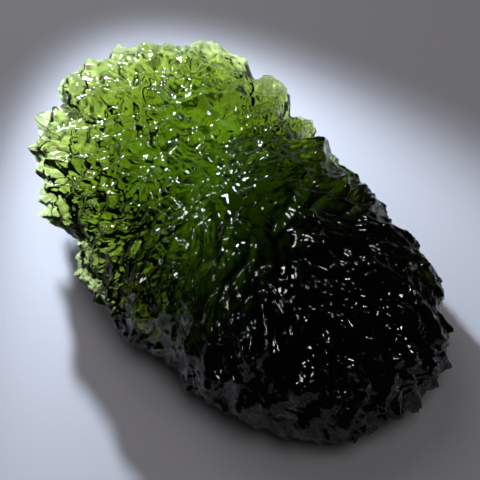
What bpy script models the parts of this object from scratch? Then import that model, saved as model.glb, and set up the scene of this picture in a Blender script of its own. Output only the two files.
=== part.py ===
"""Moldavite: one lens-shaped piece of natural glass, carved all over into pits with sharp crests.

The long side of the stone lies along X, the thin side along Z.
It rests on a small flat spot under its middle, and that spot is the plane Z = 0.
"""

import math

import bmesh
import bpy
import numpy as np
from mathutils import Vector, noise
from mathutils.kdtree import KDTree

MM = 0.001

# Overall form, in millimetres. The rim is the widest line around the stone.
# The end towards +X is blunt and thick, the other end thins to a sharp rim: where a value
# differs, the thin end's comes first and the two pass into each other around the middle.
HALF_LENGTH = 22.5
HALF_WIDTH = 13.6
SQUARENESS = 2.3
DOME_ABOVE_RIM = 6.7
BOWL_BELOW_RIM = 5.2
END_BLEND_LENGTH = 6.0
DOME_POWERS = (1.55, 0.85)
BOWL_POWERS = (2.9, 0.9)
DOME_SHARES = (0.76, 1.24)
RIM_SHIFTS = (0.5, -1.1)

# How the rings of points crowd towards the rim, and how close to the rim its own relief starts
RING_SPREAD = (0.75, 0.25)
RIM_ONSET = 3

# Lobes and notches of the rim: angle from +X in degrees, millimetres outward, half-width in degrees.
RIM_LOBES = (
    (13, 0.3, 10),
    (24, -0.6, 3),
    (28, 0.3, 5),
    (46, -1.5, 4),
    (66, -1.9, 30),
    (94, -1.5, 3.5),
    (102, 0.6, 4),
    (112, -1.2, 4),
    (121, 0.9, 6),
    (129, -0.7, 3),
    (143, 0.7, 18),
    (166, -0.5, 4),
    (173, -1.2, 3),
    (192, -1.3, 3.5),
    (206, -0.8, 16),
    (241, -1.7, 5),
    (292, -0.5, 8),
    (302, -1.3, 7),
    (325, -0.6, 16),
)

# Flat spot that the stone rests on
FLAT_DEPTH = 0.25
FLAT_HALF_LENGTH = 6.0
FLAT_HALF_WIDTH = 4.2
FLAT_CALM = 0.85

# Broad swells of the surface, and the slow turning of the grooves
SWELL_SIZE = 11.0
SWELL_HEIGHT = 0.9
SWELL_LOSS_AT_RIM = 0.5
TURN_SIZE = 9.0
TURN_ANGLE = math.radians(38)
NOISE_SHIFT = (17.3, 5.1, 9.7)
NOISE_FALL = 0.9
NOISE_STEP = 2.0
NOISE_LAYERS = 2

# The grooves fan out from a short line along the middle of the stone
FAN_HALF_LENGTH = 7.0

# Families of pits: length, width, depth in the middle, added depth at the rim, candidates, turn.
PIT_FAMILIES = (
    (2.5, 1.35, 0.62, 0.30, 12000, 0.55),
    (1.15, 0.55, 0.18, 0.20, 36000, 0.60),
)

# Shares for the thin end and the blunt end
PIT_LENGTHS = (0.95, 1.25)
PIT_WIDTHS = (1.05, 0.65)
PIT_DEPTHS = (1.05, 0.75)

# Length of a pit in the middle of the stone and what the rim adds, its reach upward against its width,
# how far apart pits lie, how much they differ in size and height, and how far each one tilts outward
PIT_GROWTH = (0.55, 0.6)
PIT_UPWARD = 1.3
PIT_SPACING = 1.2
PIT_SIZES = (0.6, 1.5)
PIT_LIFTS = (-0.3, 0.4)
PIT_TILT = 0.7
PIT_FLOOR = -0.3
PIT_TOP = 2.2
CREST_SHARPNESS = 12.0
NEIGHBOURS = 14
SEED = 7

# Mesh density: cuts along each side of the starting cube, and triangles kept
SIDE_CUTS = 64
KEPT_TRIANGLES = 9400
DOME_EDGE = math.radians(112)
CORE_SHARE = 0.8

# Glass
GLASS_COLOUR = (0.16, 0.27, 0.02, 1.0)
GLASS_ROUGHNESS = 0.12
GLASS_IOR = 1.49
GLASS_CLEARNESS = 0.8

# Box that trims the underside, in millimetres: length, width, depth
CUTTER_SIZE = (60, 40, 6)


def clear_scene():
    """Remove every object of the scene."""
    for obj in list(bpy.data.objects):
        bpy.data.objects.remove(obj, do_unlink=True)


def new_collection(name):
    """Add an empty collection to the scene."""
    collection = bpy.data.collections.new(name)
    bpy.context.scene.collection.children.link(collection)
    return collection


def rim_radius(angle):
    """Distance of the rim from the middle of the stone, in millimetres."""
    along = np.abs(np.cos(angle) / HALF_LENGTH) ** SQUARENESS
    across = np.abs(np.sin(angle) / HALF_WIDTH) ** SQUARENESS
    radius = (along + across) ** (-1 / SQUARENESS)
    for centre, outward, half_width in RIM_LOBES:
        away = (np.degrees(angle) - centre + 180) % 360 - 180
        radius = radius + outward * np.exp(-((away / half_width) ** 2))
    return radius


def end_to_end(x, values):
    """A value that passes from the thin end's to the blunt end's."""
    thin, blunt = values
    return thin + (blunt - thin) * (0.5 + 0.5 * np.tanh(x / END_BLEND_LENGTH))


def smooth_body(directions):
    """Points of the stone before carving, the inner points that carving moves them away from,
    and how near the rim each one is (0 to 1)."""
    angle = np.arctan2(directions[:, 1], directions[:, 0])
    down = np.arccos(np.clip(directions[:, 2], -1, 1))
    on_dome = down < DOME_EDGE
    share = np.where(on_dome, down / DOME_EDGE, (math.pi - down) / (math.pi - DOME_EDGE))
    outward = np.sin(math.pi / 2 * (RING_SPREAD[0] * share + RING_SPREAD[1] * share**2))
    radius = rim_radius(angle) * outward
    x, y = radius * np.cos(angle), radius * np.sin(angle)
    power = np.where(on_dome, end_to_end(x, DOME_POWERS), end_to_end(x, BOWL_POWERS))
    rise = np.sqrt(np.clip(1 - outward**2, 0, 1)) ** power
    lift = end_to_end(x, RIM_SHIFTS) * outward**2
    height = np.where(on_dome, DOME_ABOVE_RIM * end_to_end(x, DOME_SHARES), -BOWL_BELOW_RIM) * rise
    points = np.stack([x, y, height + lift], axis=1)
    cores = np.stack([CORE_SHARE * x, CORE_SHARE * y, lift], axis=1)
    return points, cores, outward


def slow_noise(points, size, seed):
    """Smooth random values over the points, with features of the given size."""
    shift = Vector(NOISE_SHIFT) * seed
    layers = (NOISE_FALL, NOISE_STEP, NOISE_LAYERS)
    basis = "PERLIN_ORIGINAL"
    return np.array(
        [noise.fractal(Vector(p) / size + shift, *layers, noise_basis=basis) for p in points]
    )


def unit(vectors):
    """The same vectors, each one unit long."""
    return vectors / np.maximum(np.linalg.norm(vectors, axis=1), 1e-9)[:, None]


def groove_directions(points, normals, turn):
    """Two directions in the surface at each point: along the grooves and across them."""
    fan = points * np.array([1.0, 1.0, 0.0])
    fan[:, 0] -= CORE_SHARE * np.clip(points[:, 0], -FAN_HALF_LENGTH, FAN_HALF_LENGTH)
    fan = unit(fan)
    slope = normals[:, 2:3] * fan - (normals * fan).sum(axis=1)[:, None] * np.array([0, 0, 1.0])
    along = unit(slope - (slope * normals).sum(axis=1)[:, None] * normals)
    across = np.cross(normals, along)
    cos, sin = np.cos(turn)[:, None], np.sin(turn)[:, None]
    return along * cos + across * sin, across * cos - along * sin


def tree_of(spots):
    """The spots in a tree that finds the nearest ones."""
    tree = KDTree(len(spots))
    for i, spot in enumerate(spots):
        tree.insert(spot, i)
    tree.balance()
    return tree


def scatter_pits(rng, points, normals, areas, turns, family):
    """Place one family of pits so that no two of them lie too close together."""
    length, width, _, _, tries, turn = family
    picked = rng.choice(len(points), tries, p=areas / areas.sum())
    spots, ups = points[picked], normals[picked]
    spins = turns[picked] + rng.uniform(-turn, turn, tries)
    along, across = groove_directions(spots, ups, spins)
    outward = np.clip(np.hypot(spots[:, 0] / HALF_LENGTH, spots[:, 1] / HALF_WIDTH), 0, 1)
    lengths = length * (PIT_GROWTH[0] + PIT_GROWTH[1] * outward) * rng.uniform(*PIT_SIZES, tries)
    lengths *= end_to_end(spots[:, 0], PIT_LENGTHS)
    widths = width * end_to_end(spots[:, 0], PIT_WIDTHS) * rng.uniform(*PIT_SIZES, tries)
    heights = PIT_UPWARD * widths
    frames = np.stack(
        [along / lengths[:, None], across / widths[:, None], ups / heights[:, None]], axis=1
    )
    tree = tree_of(spots)
    free = np.ones(tries, bool)
    kept = []
    for i in range(tries):
        if not free[i]:
            continue
        kept.append(i)
        widest = math.sqrt(PIT_SPACING) * max(lengths[i], heights[i])
        near = np.array([found[1] for found in tree.find_range(spots[i], widest)])
        reach = (spots[near] - spots[i]) @ frames[i].T
        free[near] &= (reach**2).sum(axis=1) >= PIT_SPACING
    lift = rng.uniform(*PIT_LIFTS, len(kept))
    return spots[kept], frames[kept], lift


def pit_relief(points, pits):
    """Height of the bowls at each point: low in the middle of a pit, high on the crests between."""
    spots, frames, lift = pits
    tree = tree_of(spots)
    near = np.array([[found[1] for found in tree.find_n(p, NEIGHBOURS)] for p in points])
    offsets = points[:, None, :] - spots[near]
    reach = np.einsum("pnij,pnj->pni", frames[near], offsets)
    bowls = (reach**2).sum(axis=2) + PIT_TILT * reach[:, :, 0] + lift[near]
    lowest = bowls.min(axis=1)
    spread = np.exp(-CREST_SHARPNESS * (bowls - lowest[:, None])).sum(axis=1)
    return np.clip(lowest - np.log(spread) / CREST_SHARPNESS, PIT_FLOOR, PIT_TOP) - 1.0


def round_cube(name):
    """A unit ball made from a finely divided cube, and the directions of its vertices."""
    bm = bmesh.new()
    bmesh.ops.create_cube(bm, size=2)
    bmesh.ops.subdivide_edges(bm, edges=bm.edges[:], cuts=SIDE_CUTS, use_grid_fill=True)
    mesh = bpy.data.meshes.new(name)
    bm.to_mesh(mesh)
    bm.free()
    corners = np.empty(len(mesh.vertices) * 3)
    mesh.vertices.foreach_get("co", corners)
    return mesh, unit(np.tan(corners.reshape(-1, 3) * math.pi / 4))


def move_vertices(mesh, points):
    """Put the vertices of the mesh at the given points."""
    mesh.vertices.foreach_set("co", np.ascontiguousarray(points, np.float32).ravel())
    mesh.update()


def vertex_normals_and_areas(mesh, points):
    """Normal of each vertex, and the area of surface that belongs to it."""
    normals = np.empty(len(points) * 3)
    mesh.vertices.foreach_get("normal", normals)
    corners = np.empty(len(mesh.polygons) * 4, int)
    mesh.polygons.foreach_get("vertices", corners)
    corners = corners.reshape(-1, 4)
    first = points[corners[:, 2]] - points[corners[:, 0]]
    second = points[corners[:, 3]] - points[corners[:, 1]]
    quads = np.linalg.norm(np.cross(first, second), axis=1) / 2
    areas = np.zeros(len(points))
    for corner in range(4):
        np.add.at(areas, corners[:, corner], quads / 4)
    return normals.reshape(-1, 3), areas


def carved_mesh(name):
    """The carved stone as a mesh in metres, with the resting plane at Z = 0."""
    mesh, directions = round_cube(name)
    points, cores, outward = smooth_body(directions)
    move_vertices(mesh, points)
    normals, areas = vertex_normals_and_areas(mesh, points)
    rng = np.random.default_rng(SEED)
    turns = TURN_ANGLE * slow_noise(points, TURN_SIZE, 1)
    rimward = outward**RIM_ONSET
    relief = SWELL_HEIGHT * slow_noise(points, SWELL_SIZE, 2) * (1 - SWELL_LOSS_AT_RIM * rimward)
    for family in PIT_FAMILIES:
        pits = scatter_pits(rng, points, normals, areas, turns, family)
        depth = (family[2] + family[3] * rimward) * end_to_end(points[:, 0], PIT_DEPTHS)
        relief += pit_relief(points, pits) * depth
    near_flat = (points[:, 0] / FLAT_HALF_LENGTH) ** 2 + (points[:, 1] / FLAT_HALF_WIDTH) ** 2
    relief *= 1 - FLAT_CALM * np.exp(-(near_flat**1.5)) * (points[:, 2] < 0)
    carved = points + unit(points - cores) * relief[:, None]
    carved[:, 2] += BOWL_BELOW_RIM - FLAT_DEPTH
    move_vertices(mesh, carved * MM)
    return mesh


def glass_material():
    """Clear bottle-green natural glass."""
    material = bpy.data.materials.new("green_glass")
    material.use_nodes = True
    shader = material.node_tree.nodes["Principled BSDF"]
    shader.inputs["Base Color"].default_value = GLASS_COLOUR
    shader.inputs["Roughness"].default_value = GLASS_ROUGHNESS
    shader.inputs["Metallic"].default_value = 0.0
    shader.inputs["IOR"].default_value = GLASS_IOR
    shader.inputs["Transmission Weight"].default_value = GLASS_CLEARNESS
    return material


def flat_cutter(collection):
    """A box below Z = 0 that trims the underside to its resting spot."""
    length, width, depth = (size * MM for size in CUTTER_SIZE)
    bm = bmesh.new()
    bmesh.ops.create_cube(bm, size=1)
    bmesh.ops.scale(bm, verts=bm.verts[:], vec=(length, width, depth))
    bmesh.ops.translate(bm, verts=bm.verts[:], vec=(0, 0, -depth / 2))
    mesh = bpy.data.meshes.new("flat_cutter")
    bm.to_mesh(mesh)
    bm.free()
    cutter = bpy.data.objects.new("flat_cutter", mesh)
    cutter.hide_render = True
    cutter.display_type = "WIRE"
    collection.objects.link(cutter)
    return cutter


def build_stone():
    """The moldavite as one solid."""
    stones = new_collection("moldavite")
    cutters = new_collection("cutters")
    mesh = carved_mesh("moldavite")
    mesh.materials.append(glass_material())
    stone = bpy.data.objects.new("moldavite", mesh)
    stones.objects.link(stone)
    thin = stone.modifiers.new("fewer_facets", "DECIMATE")
    thin.ratio = KEPT_TRIANGLES / (2 * len(mesh.polygons))
    flat = stone.modifiers.new("resting_flat", "BOOLEAN")
    flat.operation = "DIFFERENCE"
    flat.solver = "EXACT"
    flat.object = flat_cutter(cutters)
    return stone


clear_scene()
build_stone()
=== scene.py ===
"""Moldavite: the look of the stone as an add-on that also runs as a script.

One mesh stands for the stone: the solid's form with a finer family of pits and sharper crests.
Its material is clear green glass that absorbs light with depth.
The studio has a lamp low behind the stone, which lights the glass from the back.
"""

import math

import bmesh
import bpy
import numpy as np
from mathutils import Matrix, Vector, noise
from mathutils.kdtree import KDTree


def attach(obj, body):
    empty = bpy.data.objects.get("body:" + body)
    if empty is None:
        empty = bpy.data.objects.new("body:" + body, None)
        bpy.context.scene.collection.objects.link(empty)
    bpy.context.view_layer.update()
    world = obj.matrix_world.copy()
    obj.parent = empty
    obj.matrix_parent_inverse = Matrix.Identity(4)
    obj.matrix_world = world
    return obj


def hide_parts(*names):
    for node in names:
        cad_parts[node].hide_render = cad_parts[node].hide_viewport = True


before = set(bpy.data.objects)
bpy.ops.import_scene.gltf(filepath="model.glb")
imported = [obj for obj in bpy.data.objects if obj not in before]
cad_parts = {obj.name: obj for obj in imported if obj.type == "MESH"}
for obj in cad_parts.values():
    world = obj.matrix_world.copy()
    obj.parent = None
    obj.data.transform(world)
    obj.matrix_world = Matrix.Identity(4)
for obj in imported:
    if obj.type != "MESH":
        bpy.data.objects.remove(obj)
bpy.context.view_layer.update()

bl_info = {
    "name": "Moldavite",
    "version": (1, 0, 0),
    "blender": (4, 5, 0),
    "location": "View3D > Sidebar > Moldavite",
    "description": "Builds a carved piece of green natural glass and a plain studio for it",
    "category": "Add Mesh",
}

MM = 0.001

# Shape of the rim seen from above, and its lobes and notches: angle from +X in degrees,
# millimetres outward, half-width in degrees
SQUARENESS = 2.3
RIM_LOBES = (
    (13, 0.3, 10),
    (24, -0.6, 3),
    (28, 0.3, 5),
    (46, -1.5, 4),
    (66, -1.9, 30),
    (94, -1.5, 3.5),
    (102, 0.6, 4),
    (112, -1.2, 4),
    (121, 0.9, 6),
    (129, -0.7, 3),
    (143, 0.7, 18),
    (166, -0.5, 4),
    (173, -1.2, 3),
    (192, -1.3, 3.5),
    (206, -0.8, 16),
    (241, -1.7, 5),
    (292, -0.5, 8),
    (302, -1.3, 7),
    (325, -0.6, 16),
)

# Thin end (-X) and blunt end (+X): over how many millimetres one passes into the other, how the
# dome and the bowl thin towards the rim, the share of the dome's height, and the rim's shift upward
END_BLEND_LENGTH = 6.0
DOME_POWERS = (1.55, 0.85)
BOWL_POWERS = (2.9, 0.9)
DOME_SHARES = (0.76, 1.24)
RIM_SHIFTS = (0.5, -1.1)

# How the rings of points crowd towards the rim, how close to the rim its own relief starts, where
# the dome meets the bowl, and how far out the points lie that carving moves the surface away from
RING_SPREAD = (0.75, 0.25)
RIM_ONSET = 3
DOME_EDGE = math.radians(112)
CORE_SHARE = 0.8

# Broad swells and the slow turning of the grooves, sizes in millimetres
SWELL_SIZE = 11.0
SWELL_HEIGHT = 0.9
SWELL_LOSS_AT_RIM = 0.5
TURN_SIZE = 9.0
TURN_ANGLE = math.radians(38)
NOISE_SHIFT = (17.3, 5.1, 9.7)
NOISE_FALL = 0.9
NOISE_STEP = 2.0
NOISE_LAYERS = 2

# The grooves fan out from a short line along the middle of the stone, in millimetres
FAN_HALF_LENGTH = 7.0

# Families of pits in millimetres: length, width, depth in the middle, added depth at the rim,
# candidates, turn in radians
PIT_FAMILIES = (
    (2.5, 1.35, 0.62, 0.30, 12000, 0.55),
    (1.15, 0.55, 0.18, 0.20, 36000, 0.60),
    (0.55, 0.28, 0.01, 0.10, 60000, 0.60),
)

# Shares for the thin end and the blunt end
PIT_LENGTHS = (0.95, 1.25)
PIT_WIDTHS = (1.05, 0.65)
PIT_DEPTHS = (1.05, 0.75)

# Share of a pit's length in the middle of the stone and what the rim adds, its reach upward against
# its width, how far apart pits lie, how much they differ in size and height, and how far each one
# tilts outward
PIT_GROWTH = (0.55, 0.6)
PIT_UPWARD = 1.3
PIT_SPACING = 1.2
PIT_SIZES = (0.6, 1.5)
PIT_LIFTS = (-0.3, 0.4)
PIT_TILT = 0.7

# Lowest and highest carving as shares of the depth, how sharp the crests between pits are, how many
# pits shape each point, and how finely the ball is cut that the pits are placed from
PIT_FLOOR = -0.3
PIT_TOP = 2.2
CREST_SHARPNESS = 25.0
NEIGHBOURS = 14
SEEDING_CUTS = 64

# The pale crests between the pits: their width, each family's share, and how closely the paleness
# keeps to the rim. Paleness and grain have shares for the thin end and the blunt end. The pale
# crests and rim are partly the glass's frost and partly a painted highlight: they are kept to the
# thin end, where the beam falls, and left out of the shaded blunt end.
CREST_WIDTH = 0.20
CREST_SHARES = (1.0, 0.45, 0.0)
RIM_POWER = 8
LIT_END_CREST_SHARES = (1.0, 0.0)
ETCH_ENDS = (0.5, 1.0)

# The flat spot, in millimetres, how much of the carving is taken out over it, and how steeply the
# carving comes back round it
FLAT_DEPTH = 0.25
FLAT_HALF_LENGTH = 6.0
FLAT_HALF_WIDTH = 4.2
FLAT_CALM = 0.85
FLAT_EDGE = 1.5

# Space squeezed along the grooves: how much, the radius in millimetres that keeps its scale, and
# the length that keeps the middle from shrinking to a point
FLOW_SQUEEZE = 0.45
FLOW_RADIUS = 9.0
FLOW_CORE = 2.5

# Where random clouds start and end, the finer layers of the clouds and the grain, and how pale a
# crest is where its frost starts
CLOUD_RANGE = (0.35, 0.65)
CLOUD_DETAIL = 4.0
GRAIN_DETAIL = 0.0
FROST_ONSET = 0.3

# Colours of the lights and the room, and the finish of the floor
COOL_WHITE = (0.86, 0.94, 1.0)
WARM_WHITE = (1.0, 0.98, 0.95)
BEAM_WHITE = (0.72, 0.82, 1.0)
FILL_WHITE = (1.0, 0.96, 1.0)
VIOLET_WHITE = (0.93, 0.89, 1.0)
ROOM_COLOUR = (0.012, 0.012, 0.013, 1.0)
FLOOR_ROUGHNESS = 0.9

# The studio, in metres: the lights stand on a sphere around the middle of the stone
MIDDLE = (0, 0, 0.005)
FLOOR_HALF_SIZE = 0.6
BEAM_RADIUS = 0.0025
BEAM_BLEND = 0.6
LENS_MM = 72
NEAREST_SEEN = 0.001

# The glow under the thin end: its middle and its reach in metres, where its fading ends (0 to 1),
# and the size, finer layers and darkest and brightest share of its cloudiness
GLOW_PLACE = (-0.018, -0.003, 0.00005)
GLOW_SIZE = (0.025, 0.036, 1.0)
GLOW_FADE = 0.7
GLOW_CLOUD_SIZE = 0.0035
GLOW_CLOUD_DETAIL = 1.0
GLOW_CONTRAST = (0.15, 1.9)

# Broad lights on the floor, then small lights that show as highlights: name, azimuth and elevation
# in degrees, distance and width in metres, power in watts and colour
FILL_LIGHTS = (
    ("top_fill", 0, 80, 0.30, 0.15, 0.095, FILL_WHITE),
    ("back_fill", 175, 50, 0.20, 0.15, 0.055, VIOLET_WHITE),
)
GLINT_LIGHTS = (
    ("back_glint", 168, 21, 0.070, 0.010, 0.024, COOL_WHITE),
    ("top_glint", 49, 65, 0.30, 0.068, 0.23, WARM_WHITE),
    ("left_glint", -88, 69, 0.30, 0.050, 0.08, COOL_WHITE),
)


def unit(vectors):
    """The same vectors, each one unit long."""
    return vectors / np.maximum(np.linalg.norm(vectors, axis=1), 1e-9)[:, None]


def rim_radius(angle, form):
    """Distance of the rim from the middle of the stone, in millimetres."""
    along = np.abs(np.cos(angle) / (form.half_length / MM)) ** SQUARENESS
    across = np.abs(np.sin(angle) / (form.half_width / MM)) ** SQUARENESS
    radius = (along + across) ** (-1 / SQUARENESS)
    for centre, outward, half_width in RIM_LOBES:
        away = (np.degrees(angle) - centre + 180) % 360 - 180
        radius = radius + outward * np.exp(-((away / half_width) ** 2))
    return radius


def end_to_end(x, values):
    """A value that passes from the thin end's to the blunt end's."""
    thin, blunt = values
    return thin + (blunt - thin) * (0.5 + 0.5 * np.tanh(x / END_BLEND_LENGTH))


def smooth_body(directions, form):
    """Points of the stone before carving, the inner points that carving moves them away from,
    and how near the rim each one is (0 to 1)."""
    angle = np.arctan2(directions[:, 1], directions[:, 0])
    down = np.arccos(np.clip(directions[:, 2], -1, 1))
    on_dome = down < DOME_EDGE
    share = np.where(on_dome, down / DOME_EDGE, (math.pi - down) / (math.pi - DOME_EDGE))
    outward = np.sin(math.pi / 2 * (RING_SPREAD[0] * share + RING_SPREAD[1] * share**2))
    radius = rim_radius(angle, form) * outward
    x, y = radius * np.cos(angle), radius * np.sin(angle)
    power = np.where(on_dome, end_to_end(x, DOME_POWERS), end_to_end(x, BOWL_POWERS))
    rise = np.sqrt(np.clip(1 - outward**2, 0, 1)) ** power
    lift = end_to_end(x, RIM_SHIFTS) * outward**2
    dome_height = form.dome_height / MM * end_to_end(x, DOME_SHARES)
    height = np.where(on_dome, dome_height, -form.bowl_depth / MM) * rise
    points = np.stack([x, y, height + lift], axis=1)
    cores = np.stack([CORE_SHARE * x, CORE_SHARE * y, lift], axis=1)
    return points, cores, outward


def slow_noise(points, size, seed):
    """Smooth random values over the points, with features of the given size."""
    shift = Vector(NOISE_SHIFT) * seed
    layers = (NOISE_FALL, NOISE_STEP, NOISE_LAYERS)
    basis = "PERLIN_ORIGINAL"
    return np.array(
        [noise.fractal(Vector(p) / size + shift, *layers, noise_basis=basis) for p in points]
    )


def groove_directions(points, normals, turn):
    """Two directions in the surface at each point: along the grooves and across them."""
    fan = points * np.array([1.0, 1.0, 0.0])
    fan[:, 0] -= CORE_SHARE * np.clip(points[:, 0], -FAN_HALF_LENGTH, FAN_HALF_LENGTH)
    fan = unit(fan)
    slope = normals[:, 2:3] * fan - (normals * fan).sum(axis=1)[:, None] * np.array([0, 0, 1.0])
    along = unit(slope - (slope * normals).sum(axis=1)[:, None] * normals)
    across = np.cross(normals, along)
    cos, sin = np.cos(turn)[:, None], np.sin(turn)[:, None]
    return along * cos + across * sin, across * cos - along * sin


def tree_of(spots):
    """The spots in a tree that finds the nearest ones."""
    tree = KDTree(len(spots))
    for i, spot in enumerate(spots):
        tree.insert(spot, i)
    tree.balance()
    return tree


def scatter_pits(rng, points, normals, areas, turns, family, form):
    """Place one family of pits so that no two of them lie too close together."""
    length, width, _, _, tries, turn = family
    picked = rng.choice(len(points), tries, p=areas / areas.sum())
    spots, ups = points[picked], normals[picked]
    spins = turns[picked] + rng.uniform(-turn, turn, tries)
    along, across = groove_directions(spots, ups, spins)
    reach_x = spots[:, 0] / (form.half_length / MM)
    reach_y = spots[:, 1] / (form.half_width / MM)
    outward = np.clip(np.hypot(reach_x, reach_y), 0, 1)
    lengths = length * (PIT_GROWTH[0] + PIT_GROWTH[1] * outward) * rng.uniform(*PIT_SIZES, tries)
    lengths *= end_to_end(spots[:, 0], PIT_LENGTHS)
    widths = width * end_to_end(spots[:, 0], PIT_WIDTHS) * rng.uniform(*PIT_SIZES, tries)
    heights = PIT_UPWARD * widths
    frames = np.stack(
        [along / lengths[:, None], across / widths[:, None], ups / heights[:, None]], axis=1
    )
    tree = tree_of(spots)
    free = np.ones(tries, bool)
    kept = []
    for i in range(tries):
        if not free[i]:
            continue
        kept.append(i)
        widest = math.sqrt(PIT_SPACING) * max(lengths[i], heights[i])
        near = np.array([found[1] for found in tree.find_range(spots[i], widest)])
        reach = (spots[near] - spots[i]) @ frames[i].T
        free[near] &= (reach**2).sum(axis=1) >= PIT_SPACING
    lift = rng.uniform(*PIT_LIFTS, len(kept))
    return spots[kept], frames[kept], lift


def pit_relief(points, pits):
    """Height of the bowls at each point, low in the middle of a pit and high on the crests between,
    and how near a crest each point is (0 to 1)."""
    spots, frames, lift = pits
    tree = tree_of(spots)
    near = np.array([[found[1] for found in tree.find_n(p, NEIGHBOURS)] for p in points])
    offsets = points[:, None, :] - spots[near]
    reach = np.einsum("pnij,pnj->pni", frames[near], offsets)
    bowls = (reach**2).sum(axis=2) + PIT_TILT * reach[:, :, 0] + lift[near]
    lowest, second = np.partition(bowls, 1, axis=1)[:, :2].T
    spread = np.exp(-CREST_SHARPNESS * (bowls - lowest[:, None])).sum(axis=1)
    height = np.clip(lowest - np.log(spread) / CREST_SHARPNESS, PIT_FLOOR, PIT_TOP) - 1.0
    return height, np.exp(-(((second - lowest) / CREST_WIDTH) ** 2))


def round_cube(name, cuts):
    """A unit ball made from a finely divided cube, and the directions of its vertices."""
    bm = bmesh.new()
    bmesh.ops.create_cube(bm, size=2)
    bmesh.ops.subdivide_edges(bm, edges=bm.edges[:], cuts=cuts, use_grid_fill=True)
    mesh = bpy.data.meshes.new(name)
    bm.to_mesh(mesh)
    bm.free()
    corners = np.empty(len(mesh.vertices) * 3)
    mesh.vertices.foreach_get("co", corners)
    return mesh, unit(np.tan(corners.reshape(-1, 3) * math.pi / 4))


def move_vertices(mesh, points):
    """Put the vertices of the mesh at the given points."""
    mesh.vertices.foreach_set("co", np.ascontiguousarray(points, np.float32).ravel())
    mesh.update()


def vertex_normals_and_areas(mesh, points):
    """Normal of each vertex, and the area of surface that belongs to it."""
    normals = np.empty(len(points) * 3)
    mesh.vertices.foreach_get("normal", normals)
    corners = np.empty(len(mesh.polygons) * 4, int)
    mesh.polygons.foreach_get("vertices", corners)
    corners = corners.reshape(-1, 4)
    first = points[corners[:, 2]] - points[corners[:, 0]]
    second = points[corners[:, 3]] - points[corners[:, 1]]
    quads = np.linalg.norm(np.cross(first, second), axis=1) / 2
    areas = np.zeros(len(points))
    for corner in range(4):
        np.add.at(areas, corners[:, corner], quads / 4)
    return normals.reshape(-1, 3), areas


def all_pits(form):
    """Every family of pits, placed from the coarser ball that the solid was carved from."""
    mesh, directions = round_cube("seeding", SEEDING_CUTS)
    points, _, _ = smooth_body(directions, form)
    move_vertices(mesh, points)
    normals, areas = vertex_normals_and_areas(mesh, points)
    turns = TURN_ANGLE * slow_noise(points, TURN_SIZE, seed=1)
    bpy.data.meshes.remove(mesh)
    rng = np.random.default_rng(form.seed)
    return [
        scatter_pits(rng, points, normals, areas, turns, family, form) for family in PIT_FAMILIES
    ]


def flow_places(points):
    """Where each point lies in a space squeezed along the grooves."""
    cores = CORE_SHARE * np.clip(points[:, 0], -FAN_HALF_LENGTH, FAN_HALF_LENGTH)
    out = points[:, :2] - np.stack([cores, np.zeros(len(points))], axis=1)
    away = np.hypot(out[:, 0], out[:, 1])
    squeezed = FLOW_RADIUS ** (1 - FLOW_SQUEEZE) * (away + FLOW_CORE) ** (FLOW_SQUEEZE - 1)
    places = out * squeezed[:, None]
    places[:, 0] += cores
    return np.stack([places[:, 0], places[:, 1], FLOW_SQUEEZE * points[:, 2]], axis=1)


def store_values(mesh, name, values):
    """Keep one value for each vertex, for the material to read."""
    attribute = mesh.attributes.new(name, "FLOAT", "POINT")
    attribute.data.foreach_set("value", values.astype(np.float32))


def carved_mesh(name, form):
    """The carved stone as a mesh in metres, with the resting plane at Z = 0."""
    mesh, directions = round_cube(name, form.side_cuts)
    points, cores, outward = smooth_body(directions, form)
    rimward = outward**RIM_ONSET
    swells = SWELL_HEIGHT * slow_noise(points, SWELL_SIZE, seed=2)
    relief = swells * (1 - SWELL_LOSS_AT_RIM * rimward)
    # Paler crests and rim only at the thin end: partly frost, partly a painted highlight
    lit_end_paleness = end_to_end(points[:, 0], LIT_END_CREST_SHARES)
    crests = outward**RIM_POWER * lit_end_paleness
    for family, pits, share in zip(PIT_FAMILIES, all_pits(form), CREST_SHARES):
        depth = (family[2] + family[3] * rimward) * end_to_end(points[:, 0], PIT_DEPTHS)
        height, crest = pit_relief(points, pits)
        relief += height * depth
        crests = np.maximum(crests, share * crest * lit_end_paleness)
    near_flat = (points[:, 0] / FLAT_HALF_LENGTH) ** 2 + (points[:, 1] / FLAT_HALF_WIDTH) ** 2
    relief *= 1 - FLAT_CALM * np.exp(-(near_flat**FLAT_EDGE)) * (points[:, 2] < 0)
    carved = points + unit(points - cores) * relief[:, None]
    carved[:, 2] = np.maximum(carved[:, 2] + form.bowl_depth / MM - FLAT_DEPTH, 0)
    move_vertices(mesh, carved * MM)
    flow = mesh.attributes.new("flow", "FLOAT_VECTOR", "POINT")
    flow.data.foreach_set("vector", np.ascontiguousarray(flow_places(carved), np.float32).ravel())
    store_values(mesh, "etch", end_to_end(points[:, 0], ETCH_ENDS))
    store_values(mesh, "crest", crests)
    mesh.shade_smooth()
    return mesh


def stored(material, name):
    """A node that reads what the mesh keeps for each vertex."""
    node = material.node_tree.nodes.new("ShaderNodeAttribute")
    node.attribute_name = name
    return node


def clouds(material, size, detail, place):
    """Random clouds of the given size in metres, from 0 to 1."""
    node = material.node_tree.nodes.new("ShaderNodeTexNoise")
    node.inputs["Scale"].default_value = 1 / size
    node.inputs["Detail"].default_value = detail
    material.node_tree.links.new(place, node.inputs["Vector"])
    return node.outputs["Fac"]


def stretched(material, value, before, after, interpolation="LINEAR"):
    """The value moved from one range to another."""
    node = material.node_tree.nodes.new("ShaderNodeMapRange")
    node.interpolation_type = interpolation
    node.inputs["From Min"].default_value, node.inputs["From Max"].default_value = before
    node.inputs["To Min"].default_value, node.inputs["To Max"].default_value = after
    material.node_tree.links.new(value, node.inputs["Value"])
    return node.outputs["Result"]


def bumps(material, height, depth):
    """Bumps of the given depth in metres."""
    node = material.node_tree.nodes.new("ShaderNodeBump")
    node.inputs["Strength"].default_value = 1.0
    node.inputs["Distance"].default_value = depth
    material.node_tree.links.new(height, node.inputs["Height"])
    return node


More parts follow.
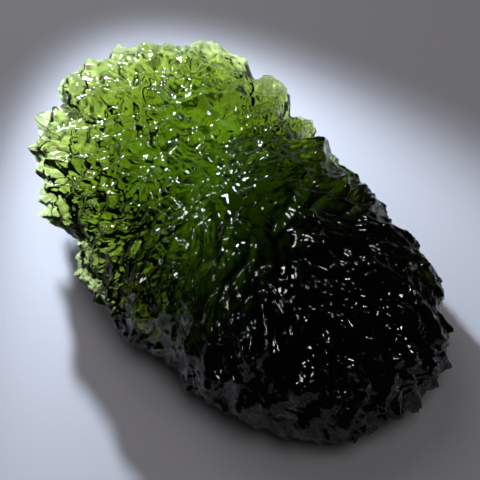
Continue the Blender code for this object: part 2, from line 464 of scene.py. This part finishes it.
def glass_material(look):
    """Clear green glass: a lightly frosted skin with fine grain, a painted highlight on the thin
    end's crests, and absorption inside.
    """
    material = bpy.data.materials.new("moldavite_glass")
    material.use_nodes = True
    nodes, links = material.node_tree.nodes, material.node_tree.links
    shader = nodes["Principled BSDF"]
    shader.inputs["Metallic"].default_value = 0.0
    shader.inputs["IOR"].default_value = look.ior
    shader.inputs["Specular IOR Level"].default_value = 1.0
    shader.inputs["Transmission Weight"].default_value = 1.0

    place = nodes.new("ShaderNodeTexCoord").outputs["Object"]
    polish = clouds(material, look.cloud_size, CLOUD_DETAIL, place)
    finish = (look.least_roughness, look.most_roughness)
    roughness = stretched(material, polish, CLOUD_RANGE, finish)
    links.new(roughness, shader.inputs["Roughness"])

    # The crests' frost and paler tint are partly real and partly a painted highlight at the thin
    # end
    crest = stored(material, "crest").outputs["Fac"]
    frost = (1.0, look.crest_clearness)
    clearness = stretched(material, crest, (FROST_ONSET, 1.0), frost, "SMOOTHSTEP")
    links.new(clearness, shader.inputs["Transmission Weight"])
    tint_and_highlight = nodes.new("ShaderNodeMix")
    tint_and_highlight.data_type = "RGBA"
    tint_and_highlight.inputs["A"].default_value = (*look.skin_colour, 1.0)
    tint_and_highlight.inputs["B"].default_value = (*look.frost_and_highlight_colour, 1.0)
    links.new(crest, tint_and_highlight.inputs["Factor"])
    links.new(tint_and_highlight.outputs["Result"], shader.inputs["Base Color"])

    cells = nodes.new("ShaderNodeTexVoronoi")
    cells.inputs["Scale"].default_value = look.cell_scale
    links.new(stored(material, "flow").outputs["Vector"], cells.inputs["Vector"])
    pits = bumps(material, cells.outputs["Distance"], look.cell_depth)
    marks = clouds(material, look.grain_size, GRAIN_DETAIL, place)
    grain = bumps(material, marks, look.grain_depth)
    links.new(stored(material, "etch").outputs["Fac"], grain.inputs["Strength"])
    links.new(pits.outputs["Normal"], grain.inputs["Normal"])
    links.new(grain.outputs["Normal"], shader.inputs["Normal"])

    inside = nodes.new("ShaderNodeVolumeAbsorption")
    inside.inputs["Color"].default_value = (*look.depth_colour, 1.0)
    inside.inputs["Density"].default_value = look.density
    links.new(inside.outputs["Volume"], nodes["Material Output"].inputs["Volume"])
    return material


def floor_material(colour):
    """Matt and pale, so that it takes the light of the beam and the stone's shadow."""
    material = bpy.data.materials.new("pale_floor")
    material.use_nodes = True
    shader = material.node_tree.nodes["Principled BSDF"]
    shader.inputs["Base Color"].default_value = (*colour, 1.0)
    shader.inputs["Roughness"].default_value = FLOOR_ROUGHNESS
    return material


def glow_material(strength):
    """Cloudy light that fades out from the middle of a card to its edge."""
    material = bpy.data.materials.new("glow")
    material.use_nodes = True
    nodes, links = material.node_tree.nodes, material.node_tree.links
    nodes.remove(nodes["Principled BSDF"])
    fall = nodes.new("ShaderNodeTexGradient")
    fall.gradient_type = "SPHERICAL"
    links.new(nodes.new("ShaderNodeTexCoord").outputs["Object"], fall.inputs["Vector"])
    fade = stretched(material, fall.outputs["Fac"], (0.0, GLOW_FADE), (0.0, strength), "SMOOTHSTEP")
    place = nodes.new("ShaderNodeNewGeometry").outputs["Position"]
    cloud = clouds(material, GLOW_CLOUD_SIZE, GLOW_CLOUD_DETAIL, place)
    cloudy = nodes.new("ShaderNodeMath")
    cloudy.operation = "MULTIPLY"
    links.new(fade, cloudy.inputs[0])
    links.new(stretched(material, cloud, CLOUD_RANGE, GLOW_CONTRAST), cloudy.inputs[1])
    light = nodes.new("ShaderNodeEmission")
    light.inputs["Color"].default_value = (*COOL_WHITE, 1.0)
    links.new(cloudy.outputs["Value"], light.inputs["Strength"])
    links.new(light.outputs["Emission"], nodes["Material Output"].inputs["Surface"])
    return material


def flat_square(name, half_size, material):
    """Put a flat square in the scene, level with the floor."""
    bm = bmesh.new()
    bmesh.ops.create_grid(bm, x_segments=1, y_segments=1, size=half_size)
    mesh = bpy.data.meshes.new(name)
    bm.to_mesh(mesh)
    bm.free()
    mesh.materials.append(material)
    square = bpy.data.objects.new(name, mesh)
    bpy.context.scene.collection.objects.link(square)
    return square


def glow_card(strength):
    """Light on the floor under the thin end, which shows only through the glass."""
    card = flat_square("glow_card", 1.0, glow_material(strength))
    card.location = GLOW_PLACE
    card.scale = GLOW_SIZE
    card.visible_camera = False
    card.visible_diffuse = False
    card.visible_glossy = False
    card.visible_shadow = False
    return card


def aim(obj, place, target):
    """Put an object at a place and point its -Z at the target."""
    obj.location = place
    obj.rotation_mode = "QUATERNION"
    obj.rotation_quaternion = (Vector(target) - Vector(place)).to_track_quat("-Z", "Y")


def around(centre, azimuth, elevation, distance):
    """The point seen from the centre in a direction: azimuth from +X towards +Y."""
    flat = distance * math.cos(elevation)
    return Vector(centre) + Vector(
        (flat * math.cos(azimuth), flat * math.sin(azimuth), distance * math.sin(elevation))
    )


def add_light(light, place, target, power, colour, mirrored):
    """Put a light in the scene: mirrored by the glass, or else lighting the matt floor."""
    light.energy = power
    light.color = colour
    lamp = bpy.data.objects.new(light.name, light)
    bpy.context.scene.collection.objects.link(lamp)
    aim(lamp, place, target)
    lamp.visible_glossy = mirrored
    lamp.visible_diffuse = not mirrored
    lamp.visible_transmission = False


def softbox(name, size):
    """A round area light."""
    light = bpy.data.lights.new(name, "AREA")
    light.shape = "DISK"
    light.size = size
    return light


def beam(name, angle):
    """A soft-edged beam."""
    light = bpy.data.lights.new(name, "SPOT")
    light.shadow_soft_size = BEAM_RADIUS
    light.spot_size = angle
    light.spot_blend = BEAM_BLEND
    return light


class MoldaviteForm(bpy.types.PropertyGroup):
    """Sizes of the stone."""

    half_length: bpy.props.FloatProperty(
        name="Half length",
        description="From the middle to the far ends",
        default=0.0225,
        unit="LENGTH",
    )
    half_width: bpy.props.FloatProperty(
        name="Half width", description="From the middle to the sides", default=0.0136, unit="LENGTH"
    )
    dome_height: bpy.props.FloatProperty(
        name="Dome height",
        description="Height of the top above the rim",
        default=0.0067,
        unit="LENGTH",
    )
    bowl_depth: bpy.props.FloatProperty(
        name="Bowl depth",
        description="Depth of the underside below the rim",
        default=0.0052,
        unit="LENGTH",
    )
    side_cuts: bpy.props.IntProperty(
        name="Side cuts", description="Cuts along each side of the starting cube", default=126
    )
    seed: bpy.props.IntProperty(name="Seed", description="Choice of the pits' places", default=7)


class MoldaviteLook(bpy.types.PropertyGroup):
    """Colours and finish of the glass."""

    skin_colour: bpy.props.FloatVectorProperty(
        name="Skin colour",
        description="Tint at the surface",
        default=(0.60, 0.67, 0.36),
        subtype="COLOR",
        size=3,
    )
    depth_colour: bpy.props.FloatVectorProperty(
        name="Depth colour",
        description="Colour that passes through the glass",
        default=(0.808, 0.855, 0.57),
        subtype="COLOR",
        size=3,
    )
    density: bpy.props.FloatProperty(
        name="Density", description="How fast the other colours fade, per metre", default=1350.0
    )
    ior: bpy.props.FloatProperty(
        name="IOR", description="How strongly the glass bends light", default=1.49
    )
    least_roughness: bpy.props.FloatProperty(
        name="Least roughness", description="Of the bright, fire-polished places", default=0.01
    )
    most_roughness: bpy.props.FloatProperty(
        name="Most roughness", description="Of the etched places", default=0.10
    )
    cloud_size: bpy.props.FloatProperty(
        name="Cloud size",
        description="Size of the bright and etched places",
        default=0.0025,
        unit="LENGTH",
    )
    # Partly the frosted crests' own tint, partly a painted highlight on the thin end's crests and
    # rim
    frost_and_highlight_colour: bpy.props.FloatVectorProperty(
        name="Crest colour",
        description="Tint of the thin crests",
        default=(0.74, 0.90, 0.48),
        subtype="COLOR",
        size=3,
    )
    crest_clearness: bpy.props.FloatProperty(
        name="Crest clearness", description="Clear share of the frosted crests", default=0.94
    )
    cell_scale: bpy.props.FloatProperty(
        name="Cell scale", description="Small pits in each millimetre", default=0.9
    )
    cell_depth: bpy.props.FloatProperty(
        name="Cell depth", description="Depth of the small pits", default=0.00007, unit="LENGTH"
    )
    grain_size: bpy.props.FloatProperty(
        name="Grain size", description="Size of the finest marks", default=0.00028, unit="LENGTH"
    )
    grain_depth: bpy.props.FloatProperty(
        name="Grain depth", description="Depth of the finest marks", default=0.000011, unit="LENGTH"
    )


class MoldaviteStudio(bpy.types.PropertyGroup):
    """Camera, floor and light."""

    view_azimuth: bpy.props.FloatProperty(
        name="View azimuth",
        description="Camera's turn from -Y towards +X",
        default=math.radians(50),
        subtype="ANGLE",
    )
    view_elevation: bpy.props.FloatProperty(
        name="View elevation",
        description="Camera's height above the floor",
        default=math.radians(60),
        subtype="ANGLE",
    )
    view_distance: bpy.props.FloatProperty(
        name="View distance",
        description="From the camera to its target",
        default=0.080,
        unit="LENGTH",
    )
    view_target: bpy.props.FloatVectorProperty(
        name="View target",
        description="Point at the middle of the picture",
        default=(0.00257, -0.00052, 0.0055),
        size=3,
        subtype="TRANSLATION",
    )
    floor_colour: bpy.props.FloatVectorProperty(
        name="Floor colour",
        description="Matt and pale",
        default=(0.75, 0.75, 0.76),
        subtype="COLOR",
        size=3,
    )
    beam_azimuth: bpy.props.FloatProperty(
        name="Beam azimuth",
        description="From +X towards +Y",
        default=math.radians(167),
        subtype="ANGLE",
    )
    beam_elevation: bpy.props.FloatProperty(
        name="Beam elevation",
        description="Above the floor",
        default=math.radians(21),
        subtype="ANGLE",
    )
    beam_distance: bpy.props.FloatProperty(
        name="Beam distance", description="From the stone to the lamp", default=0.070, unit="LENGTH"
    )
    beam_power: bpy.props.FloatProperty(
        name="Beam power",
        description="Of the low beam behind the stone",
        default=0.50,
        unit="POWER",
    )
    beam_angle: bpy.props.FloatProperty(
        name="Beam angle",
        description="Full width of the beam",
        default=math.radians(49.5),
        subtype="ANGLE",
    )
    beam_target: bpy.props.FloatVectorProperty(
        name="Beam target",
        description="Where the middle of the beam meets the floor",
        default=(0.045, -0.0115, 0.0),
        size=3,
        subtype="TRANSLATION",
    )
    glow: bpy.props.FloatProperty(
        name="Glow", description="Brightness of the floor under the thin end", default=1.15
    )
    fill_power: bpy.props.FloatProperty(
        name="Fill power", description="Share of the broad lights' power", default=1.0
    )
    glint_power: bpy.props.FloatProperty(
        name="Glint power", description="Share of the small lights' power", default=1.0
    )


def view_axis(studio):
    """From the target to the camera."""
    flat = math.cos(studio.view_elevation)
    return Vector(
        (
            math.sin(studio.view_azimuth) * flat,
            -math.cos(studio.view_azimuth) * flat,
            math.sin(studio.view_elevation),
        )
    )


class MOLDAVITE_OT_stone(bpy.types.Operator):
    """Build the carved stone in green glass"""

    bl_idname = "moldavite.stone"
    bl_label = "Build stone"

    def execute(self, context):
        form = context.scene.moldavite_form
        mesh = carved_mesh("stone", form)
        mesh.materials.append(glass_material(context.scene.moldavite_look))
        stone = bpy.data.objects.new("stone", mesh)
        context.scene.collection.objects.link(stone)
        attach(stone, "root")
        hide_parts("moldavite")
        return {"FINISHED"}


class MOLDAVITE_OT_studio(bpy.types.Operator):
    """Build the floor, the lights and the camera"""

    bl_idname = "moldavite.studio"
    bl_label = "Build studio"

    def execute(self, context):
        studio = context.scene.moldavite_studio
        flat_square("floor", FLOOR_HALF_SIZE, floor_material(studio.floor_colour))
        glow_card(studio.glow)

        context.scene.view_settings.view_transform = "Standard"
        context.scene.cycles.caustics_refractive = False
        context.scene.cycles.caustics_reflective = False
        place = around(MIDDLE, studio.beam_azimuth, studio.beam_elevation, studio.beam_distance)
        light = beam("back_beam", studio.beam_angle)
        add_light(light, place, studio.beam_target, studio.beam_power, BEAM_WHITE, False)
        for lights, share, mirrored in (
            (FILL_LIGHTS, studio.fill_power, False),
            (GLINT_LIGHTS, studio.glint_power, True),
        ):
            for name, azimuth, elevation, distance, width, power, colour in lights:
                place = around(MIDDLE, math.radians(azimuth), math.radians(elevation), distance)
                add_light(softbox(name, width), place, MIDDLE, power * share, colour, mirrored)

        world = bpy.data.worlds.new("room")
        world.use_nodes = True
        world.node_tree.nodes["Background"].inputs["Color"].default_value = ROOM_COLOUR
        context.scene.world = world

        lens = bpy.data.cameras.new("camera")
        lens.lens = LENS_MM
        lens.clip_start = NEAREST_SEEN
        camera = bpy.data.objects.new("camera", lens)
        context.scene.collection.objects.link(camera)
        target = Vector(studio.view_target)
        aim(camera, target + view_axis(studio) * studio.view_distance, target)
        context.scene.camera = camera
        return {"FINISHED"}


class MOLDAVITE_PT_panel(bpy.types.Panel):
    """Sizes, colours and the two build buttons"""

    bl_idname = "MOLDAVITE_PT_panel"
    bl_label = "Moldavite"
    bl_space_type = "VIEW_3D"
    bl_region_type = "UI"
    bl_category = "Moldavite"

    def draw(self, context):
        groups = (
            context.scene.moldavite_form,
            context.scene.moldavite_look,
            context.scene.moldavite_studio,
        )
        for group in groups:
            box = self.layout.box()
            for name in group.__annotations__:
                box.prop(group, name)
        self.layout.operator("moldavite.stone")
        self.layout.operator("moldavite.studio")


CLASSES = (
    MoldaviteForm,
    MoldaviteLook,
    MoldaviteStudio,
    MOLDAVITE_OT_stone,
    MOLDAVITE_OT_studio,
    MOLDAVITE_PT_panel,
)


def register():
    """Add the classes and their settings to Blender."""
    for cls in CLASSES:
        bpy.utils.register_class(cls)
    bpy.types.Scene.moldavite_form = bpy.props.PointerProperty(type=MoldaviteForm)
    bpy.types.Scene.moldavite_look = bpy.props.PointerProperty(type=MoldaviteLook)
    bpy.types.Scene.moldavite_studio = bpy.props.PointerProperty(type=MoldaviteStudio)


def unregister():
    """Remove the classes and their settings again."""
    del bpy.types.Scene.moldavite_studio
    del bpy.types.Scene.moldavite_look
    del bpy.types.Scene.moldavite_form
    for cls in reversed(CLASSES):
        bpy.utils.unregister_class(cls)


def main():
    """Register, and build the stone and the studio."""
    register()
    bpy.ops.moldavite.stone()
    bpy.ops.moldavite.studio()


if __name__ == "__main__":
    main()
